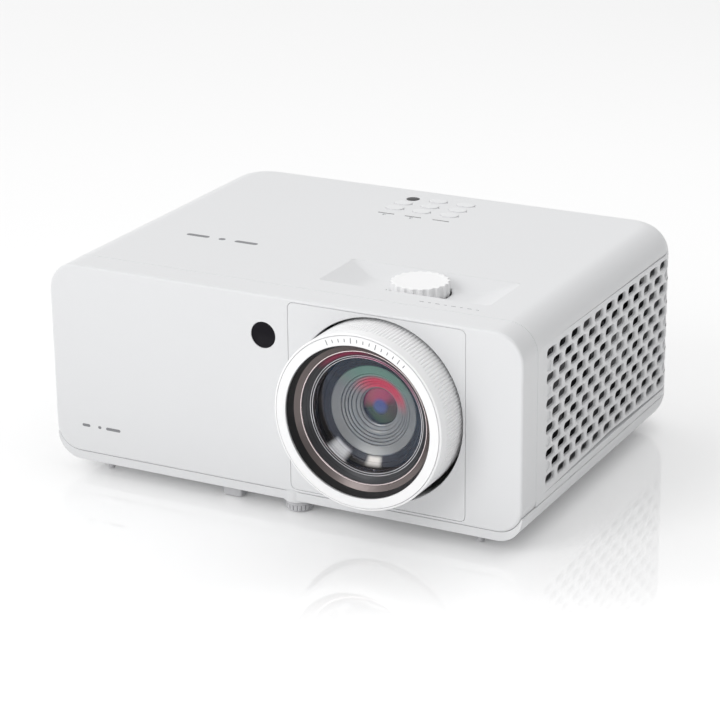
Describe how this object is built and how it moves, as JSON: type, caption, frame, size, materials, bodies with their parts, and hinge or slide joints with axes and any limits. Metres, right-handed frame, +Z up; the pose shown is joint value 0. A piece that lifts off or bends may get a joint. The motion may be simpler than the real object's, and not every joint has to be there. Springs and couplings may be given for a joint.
{
  "type": "home projector",
  "caption": "Compact short-throw home projector with a wrap-round front bezel, protruding focus-ring lens, recessed lens-shift dial, brick-pattern side vents and screw feet.",
  "frame": {"origin": "on the floor under the feet, at the middle of the footprint of the case and lens together", "axes": "+X to the right seen from the front, -Y out of the lens towards the screen, +Z up"},
  "size_m": [0.274, 0.236, 0.1186],
  "materials": {
    "case_white": "satin moulded white",
    "panel_white": "fine matt white",
    "ring_white": "knurled white",
    "key_white": "satin white",
    "foot_white": "satin off-white",
    "window_black": "polished black",
    "light_grey_window": "smoked clear",
    "lens_black": "matt anti-reflection black",
    "lens_metal_black": "satin black anodised",
    "coated_glass": "multi-coated",
    "die_cast": "cast",
    "heatsink_aluminium": "extruded",
    "bright_steel": "ground",
    "copper_plate": "copper-coloured",
    "phosphor": "phosphor coat",
    "board_green": "solder resist",
    "board_parts": "moulded",
    "io_grey": "textured dark grey",
    "socket_black": "black",
    "socket_metal": "nickel plated",
    "jack_green": "green",
    "fan_black": "satin black",
    "insert_brass": "knurled brass"
  },
  "bodies": {
    "root": {"front_bezel": "case_white", "lens_panel": "panel_white", "front_ir_window": "window_black", "top_case": "case_white", "bottom_case": "case_white", "vent_panel_right": "case_white", "vent_panel_left": "case_white", "rear_io_plate": "io_grey", "top_ir_window": "window_black", "status_light_bars": "light_grey_window", "guide_rods": "bright_steel", "lens_mount": "die_cast", "light_engine": "die_cast", "laser_module": "copper_plate", "laser_heatsink": "heatsink_aluminium", "wheel_motor": "bright_steel", "imager_heatsink": "heatsink_aluminium", "main_board": "board_green", "power_supply": "board_parts", "keypad_board": "board_green", "ir_receivers": "board_parts", "speaker": "board_parts", "fan_frames": "fan_black", "power_inlet": "socket_black", "hdmi_sockets": "socket_metal", "usb_socket": "socket_metal", "lan_socket": "socket_metal", "serial_socket": "socket_metal", "audio_jack": "jack_green", "front_rest_pegs": "foot_white", "mount_inserts_and_screws": "insert_brass"},
    "shift_dial": {"lens_shift_dial": "ring_white"},
    "lens_group": {"lens_baffle": "lens_black", "front_lens": "coated_glass", "lens_retainer": "lens_metal_black", "inner_barrel": "lens_black", "middle_lens": "coated_glass", "rear_lens": "coated_glass", "lens_barrel": "lens_metal_black", "lens_carriage": "die_cast"},
    "focus_ring": {"focus_ring": "ring_white", "lens_name_ring": "ring_white"},
    "intake_fan": {"fan_rotor_intake": "fan_black"},
    "front_exhaust_fan": {"fan_rotor_front": "fan_black"},
    "rear_exhaust_fan": {"fan_rotor_rear": "fan_black"},
    "phosphor_wheel": {"phosphor_wheel": "phosphor"},
    "key_a1": {"key_a1": "key_white"},
    "key_a2": {"key_a2": "key_white"},
    "key_b1": {"key_b1": "key_white"},
    "key_b2": {"key_b2": "key_white"},
    "key_b3": {"key_b3": "key_white"},
    "key_c1": {"key_c1": "key_white"},
    "key_c2": {"key_c2": "key_white"},
    "key_c3": {"key_c3": "key_white"},
    "front_foot_stud": {"front_foot_stud": "bright_steel"},
    "front_foot_pad": {"front_foot_pad": "foot_white"},
    "rear_left_foot_stud": {"rear_left_foot_stud": "bright_steel"},
    "rear_left_foot_pad": {"rear_left_foot_pad": "foot_white"},
    "rear_right_foot_stud": {"rear_right_foot_stud": "bright_steel"},
    "rear_right_foot_pad": {"rear_right_foot_pad": "foot_white"}
  },
  "joints": [
    {"name": "shift_dial_turn", "type": "hinge", "parent": "root", "child": "shift_dial", "pos_m": [0.056, -0.044, 0.11], "axis": [0, 0, 1], "range_deg": [0, 330]},
    {"name": "lens_shift", "type": "slide", "parent": "root", "child": "lens_group", "axis": [0, 0, -1], "range_m": [0, 0.0022]},
    {"name": "focus_turn", "type": "hinge", "parent": "lens_group", "child": "focus_ring", "pos_m": [0.057, -0.106, 0.0665], "axis": [0, -1, 0], "range_deg": [-50, 50]},
    {"name": "key_a1_press", "type": "slide", "parent": "root", "child": "key_a1", "axis": [0, 0, -1], "range_m": [0, 0.0008], "stiffness_N_per_m": 600, "springref_m": -0.0008},
    {"name": "key_a2_press", "type": "slide", "parent": "root", "child": "key_a2", "axis": [0, 0, -1], "range_m": [0, 0.0008], "stiffness_N_per_m": 600, "springref_m": -0.0008},
    {"name": "key_b1_press", "type": "slide", "parent": "root", "child": "key_b1", "axis": [0, 0, -1], "range_m": [0, 0.0008], "stiffness_N_per_m": 600, "springref_m": -0.0008},
    {"name": "key_b2_press", "type": "slide", "parent": "root", "child": "key_b2", "axis": [0, 0, -1], "range_m": [0, 0.0008], "stiffness_N_per_m": 600, "springref_m": -0.0008},
    {"name": "key_b3_press", "type": "slide", "parent": "root", "child": "key_b3", "axis": [0, 0, -1], "range_m": [0, 0.0008], "stiffness_N_per_m": 600, "springref_m": -0.0008},
    {"name": "key_c1_press", "type": "slide", "parent": "root", "child": "key_c1", "axis": [0, 0, -1], "range_m": [0, 0.0008], "stiffness_N_per_m": 600, "springref_m": -0.0008},
    {"name": "key_c2_press", "type": "slide", "parent": "root", "child": "key_c2", "axis": [0, 0, -1], "range_m": [0, 0.0008], "stiffness_N_per_m": 600, "springref_m": -0.0008},
    {"name": "key_c3_press", "type": "slide", "parent": "root", "child": "key_c3", "axis": [0, 0, -1], "range_m": [0, 0.0008], "stiffness_N_per_m": 600, "springref_m": -0.0008},
    {"name": "front_foot_height", "type": "slide", "parent": "root", "child": "front_foot_stud", "axis": [0, 0, -1], "range_m": [0, 0.008]},
    {"name": "front_foot_turn", "type": "hinge", "parent": "front_foot_stud", "child": "front_foot_pad", "pos_m": [0.007, -0.087, 0.003], "axis": [0, 0, -1], "range_deg": [0, 1440]},
    {"name": "rear_left_foot_height", "type": "slide", "parent": "root", "child": "rear_left_foot_stud", "axis": [0, 0, -1], "range_m": [0, 0.008]},
    {"name": "rear_left_foot_turn", "type": "hinge", "parent": "rear_left_foot_stud", "child": "rear_left_foot_pad", "pos_m": [-0.104, 0.094, 0.003], "axis": [0, 0, -1], "range_deg": [0, 1440]},
    {"name": "rear_right_foot_height", "type": "slide", "parent": "root", "child": "rear_right_foot_stud", "axis": [0, 0, -1], "range_m": [0, 0.008]},
    {"name": "rear_right_foot_turn", "type": "hinge", "parent": "rear_right_foot_stud", "child": "rear_right_foot_pad", "pos_m": [0.104, 0.094, 0.003], "axis": [0, 0, -1], "range_deg": [0, 1440]},
    {"name": "intake_fan_spin", "type": "hinge", "parent": "root", "child": "intake_fan", "pos_m": [-0.1195, -0.02, 0.066], "axis": [1, 0, 0], "continuous": true},
    {"name": "front_exhaust_fan_spin", "type": "hinge", "parent": "root", "child": "front_exhaust_fan", "pos_m": [0.1195, -0.03, 0.066], "axis": [1, 0, 0], "continuous": true},
    {"name": "rear_exhaust_fan_spin", "type": "hinge", "parent": "root", "child": "rear_exhaust_fan", "pos_m": [0.1195, 0.054, 0.066], "axis": [1, 0, 0], "continuous": true},
    {"name": "phosphor_wheel_spin", "type": "hinge", "parent": "root", "child": "phosphor_wheel", "pos_m": [0.006, -0.004, 0.0575], "axis": [0, 1, 0], "continuous": true}
  ],
  "couplings": [
    {"joint": "shift_dial_turn", "follows": "lens_shift", "rad_per_m": 2618},
    {"joint": "front_foot_turn", "follows": "front_foot_height", "rad_per_m": 3141.6},
    {"joint": "rear_left_foot_turn", "follows": "rear_left_foot_height", "rad_per_m": 3141.6},
    {"joint": "rear_right_foot_turn", "follows": "rear_right_foot_height", "rad_per_m": 3141.6}
  ]
}
